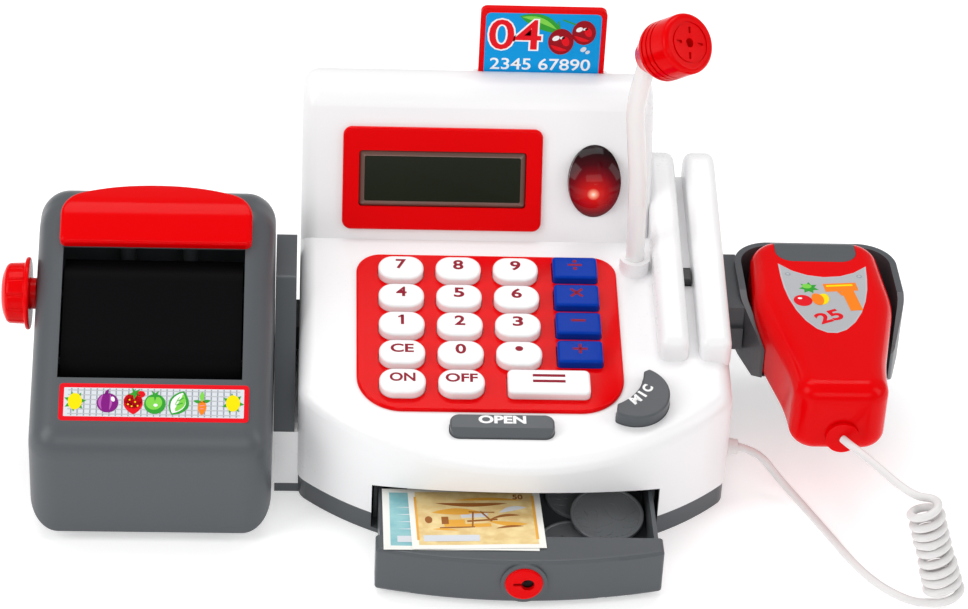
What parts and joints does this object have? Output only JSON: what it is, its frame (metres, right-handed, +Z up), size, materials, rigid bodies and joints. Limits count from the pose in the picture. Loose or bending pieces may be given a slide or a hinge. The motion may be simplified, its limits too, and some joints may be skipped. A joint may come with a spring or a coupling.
{
  "type": "toy cash register",
  "caption": "Toy cash register with keypad, display tower, cash drawer, card slot, microphone, conveyor station and hand scanner on a curly cord.",
  "frame": {"origin": "on the floor under the middle of the toy's box, measured without the free cord", "axes": "+Z up, -Y towards the player who presses the keys, +X towards the scanner"},
  "size_m": [0.4166, 0.2176, 0.2109],
  "materials": {
    "white_plastic": "gloss moulded plastic",
    "grey_plastic": "semi-gloss moulded plastic",
    "red_plastic": "high-gloss moulded plastic",
    "blue_plastic": "gloss moulded plastic",
    "black_plastic": "satin moulded plastic",
    "display_glass": "dark display window",
    "smoked_lens": "smoked red clear plastic",
    "belt_cloth": "matt black belt",
    "key_rubber": "translucent silicone rubber",
    "board_laminate": "solder-masked board",
    "cell_jacket": "printed cell jacket",
    "spring_steel": "bright zinc plating",
    "note_paper": "printed paper",
    "coin_plastic": "silver-grey moulded plastic",
    "cord_jacket": "smooth white jacket"
  },
  "bodies": {
    "root": {"base_shell": "grey_plastic", "upper_shell": "white_plastic", "display_bezel": "red_plastic", "lcd_module": "display_glass", "indicator_lens": "smoked_lens", "keypad_bezel": "red_plastic", "key_mat": "key_rubber", "circuit_board": "board_laminate", "speaker": "black_plastic", "battery_door": "grey_plastic", "batteries": "cell_jacket", "screws": "spring_steel", "station_housing": "grey_plastic", "station_base": "grey_plastic", "station_hood": "red_plastic", "conveyor_belt": "belt_cloth", "link_bracket": "grey_plastic", "scanner_cradle": "grey_plastic", "cord_gland": "cord_jacket", "cord_lead_register": "cord_jacket", "cord_lead_scanner": "cord_jacket", "cord_coil": "cord_jacket", "drawer_spring": "spring_steel"},
    "drawer": {"drawer_tray": "grey_plastic", "drawer_front": "grey_plastic", "banknotes": "note_paper", "coins": "coin_plastic"},
    "lock": {"drawer_lock": "red_plastic"},
    "open_key": {"open_button": "grey_plastic"},
    "mic_key": {"mic_button": "grey_plastic"},
    "card_sensor": {"swipe_sensor": "black_plastic"},
    "microphone": {"mic_stalk": "white_plastic", "mic_head": "red_plastic"},
    "sign": {"sign_board": "red_plastic"},
    "belt_drive": {"drive_roller": "black_plastic", "belt_knob": "red_plastic"},
    "belt_idler": {"idler_roller": "black_plastic"},
    "scanner": {"scanner_upper_shell": "red_plastic", "scanner_lower_shell": "red_plastic", "scanner_nose": "grey_plastic"},
    "trigger": {"scanner_trigger": "black_plastic"},
    "key_7_cap": {"key_7": "white_plastic"},
    "key_8_cap": {"key_8": "white_plastic"},
    "key_9_cap": {"key_9": "white_plastic"},
    "key_4_cap": {"key_4": "white_plastic"},
    "key_5_cap": {"key_5": "white_plastic"},
    "key_6_cap": {"key_6": "white_plastic"},
    "key_1_cap": {"key_1": "white_plastic"},
    "key_2_cap": {"key_2": "white_plastic"},
    "key_3_cap": {"key_3": "white_plastic"},
    "key_clear_cap": {"key_clear": "white_plastic"},
    "key_0_cap": {"key_0": "white_plastic"},
    "key_point_cap": {"key_point": "white_plastic"},
    "key_on_cap": {"key_on": "white_plastic"},
    "key_off_cap": {"key_off": "white_plastic"},
    "key_divide_cap": {"key_divide": "blue_plastic"},
    "key_multiply_cap": {"key_multiply": "blue_plastic"},
    "key_minus_cap": {"key_minus": "blue_plastic"},
    "key_plus_cap": {"key_plus": "blue_plastic"},
    "key_equals_cap": {"key_equals": "white_plastic"}
  },
  "joints": [
    {"name": "drawer_slide", "type": "slide", "parent": "root", "child": "drawer", "axis": [0, -1, 0], "range_m": [-0.033, 0.038], "deforming": ["drawer_spring"]},
    {"name": "lock_turn", "type": "hinge", "parent": "drawer", "child": "lock", "pos_m": [0.0248, -0.10675, 0.0136], "axis": [0, 1, 0], "range_deg": [0, 90]},
    {"name": "open_press", "type": "slide", "parent": "root", "child": "open_key", "axis": [0, 0.2079, -0.9781], "range_m": [0, 0.002], "stiffness_N_per_m": 300, "springref_m": -0.001},
    {"name": "mic_press", "type": "slide", "parent": "root", "child": "mic_key", "axis": [0, 0.2079, -0.9781], "range_m": [0, 0.002], "stiffness_N_per_m": 300, "springref_m": -0.001},
    {"name": "sensor_press", "type": "slide", "parent": "root", "child": "card_sensor", "axis": [0, 0.2079, -0.9781], "range_m": [0, 0.0015], "stiffness_N_per_m": 150, "springref_m": -0.001},
    {"name": "mic_swivel", "type": "hinge", "parent": "root", "child": "microphone", "pos_m": [0.0787, 0.04435, 0.07393], "axis": [0, 0, 1], "range_deg": [-90, 90]},
    {"name": "sign_lift", "type": "slide", "parent": "root", "child": "sign", "axis": [0, 0, 1], "range_m": [0, 0.03]},
    {"name": "knob_turn", "type": "hinge", "parent": "root", "child": "belt_drive", "pos_m": [-0.1865, 0.01245, 0.07642], "axis": [1, 0, 0], "continuous": true},
    {"name": "idler_turn", "type": "hinge", "parent": "root", "child": "belt_idler", "pos_m": [-0.1865, -0.01622, 0.05987], "axis": [1, 0, 0], "continuous": true},
    {"name": "scanner_lift", "type": "slide", "parent": "root", "child": "scanner", "axis": [0, 0, 1], "range_m": [0, 0.06]},
    {"name": "trigger_press", "type": "slide", "parent": "scanner", "child": "trigger", "axis": [0, 0, 1], "range_m": [0, 0.0015], "stiffness_N_per_m": 300, "springref_m": -0.001},
    {"name": "key_7_press", "type": "slide", "parent": "root", "child": "key_7_cap", "axis": [0, 0.2079, -0.9781], "range_m": [0, 0.0015], "stiffness_N_per_m": 200, "springref_m": -0.001},
    {"name": "key_8_press", "type": "slide", "parent": "root", "child": "key_8_cap", "axis": [0, 0.2079, -0.9781], "range_m": [0, 0.0015], "stiffness_N_per_m": 200, "springref_m": -0.001},
    {"name": "key_9_press", "type": "slide", "parent": "root", "child": "key_9_cap", "axis": [0, 0.2079, -0.9781], "range_m": [0, 0.0015], "stiffness_N_per_m": 200, "springref_m": -0.001},
    {"name": "key_4_press", "type": "slide", "parent": "root", "child": "key_4_cap", "axis": [0, 0.2079, -0.9781], "range_m": [0, 0.0015], "stiffness_N_per_m": 200, "springref_m": -0.001},
    {"name": "key_5_press", "type": "slide", "parent": "root", "child": "key_5_cap", "axis": [0, 0.2079, -0.9781], "range_m": [0, 0.0015], "stiffness_N_per_m": 200, "springref_m": -0.001},
    {"name": "key_6_press", "type": "slide", "parent": "root", "child": "key_6_cap", "axis": [0, 0.2079, -0.9781], "range_m": [0, 0.0015], "stiffness_N_per_m": 200, "springref_m": -0.001},
    {"name": "key_1_press", "type": "slide", "parent": "root", "child": "key_1_cap", "axis": [0, 0.2079, -0.9781], "range_m": [0, 0.0015], "stiffness_N_per_m": 200, "springref_m": -0.001},
    {"name": "key_2_press", "type": "slide", "parent": "root", "child": "key_2_cap", "axis": [0, 0.2079, -0.9781], "range_m": [0, 0.0015], "stiffness_N_per_m": 200, "springref_m": -0.001},
    {"name": "key_3_press", "type": "slide", "parent": "root", "child": "key_3_cap", "axis": [0, 0.2079, -0.9781], "range_m": [0, 0.0015], "stiffness_N_per_m": 200, "springref_m": -0.001},
    {"name": "key_clear_press", "type": "slide", "parent": "root", "child": "key_clear_cap", "axis": [0, 0.2079, -0.9781], "range_m": [0, 0.0015], "stiffness_N_per_m": 200, "springref_m": -0.001},
    {"name": "key_0_press", "type": "slide", "parent": "root", "child": "key_0_cap", "axis": [0, 0.2079, -0.9781], "range_m": [0, 0.0015], "stiffness_N_per_m": 200, "springref_m": -0.001},
    {"name": "key_point_press", "type": "slide", "parent": "root", "child": "key_point_cap", "axis": [0, 0.2079, -0.9781], "range_m": [0, 0.0015], "stiffness_N_per_m": 200, "springref_m": -0.001},
    {"name": "key_on_press", "type": "slide", "parent": "root", "child": "key_on_cap", "axis": [0, 0.2079, -0.9781], "range_m": [0, 0.0015], "stiffness_N_per_m": 200, "springref_m": -0.001},
    {"name": "key_off_press", "type": "slide", "parent": "root", "child": "key_off_cap", "axis": [0, 0.2079, -0.9781], "range_m": [0, 0.0015], "stiffness_N_per_m": 200, "springref_m": -0.001},
    {"name": "key_divide_press", "type": "slide", "parent": "root", "child": "key_divide_cap", "axis": [0, 0.2079, -0.9781], "range_m": [0, 0.0015], "stiffness_N_per_m": 200, "springref_m": -0.001},
    {"name": "key_multiply_press", "type": "slide", "parent": "root", "child": "key_multiply_cap", "axis": [0, 0.2079, -0.9781], "range_m": [0, 0.0015], "stiffness_N_per_m": 200, "springref_m": -0.001},
    {"name": "key_minus_press", "type": "slide", "parent": "root", "child": "key_minus_cap", "axis": [0, 0.2079, -0.9781], "range_m": [0, 0.0015], "stiffness_N_per_m": 200, "springref_m": -0.001},
    {"name": "key_plus_press", "type": "slide", "parent": "root", "child": "key_plus_cap", "axis": [0, 0.2079, -0.9781], "range_m": [0, 0.0015], "stiffness_N_per_m": 200, "springref_m": -0.001},
    {"name": "key_equals_press", "type": "slide", "parent": "root", "child": "key_equals_cap", "axis": [0, 0.2079, -0.9781], "range_m": [0, 0.0015], "stiffness_N_per_m": 200, "springref_m": -0.001}
  ],
  "couplings": [
    {"joint": "idler_turn", "follows": "knob_turn", "ratio": 1}
  ]
}
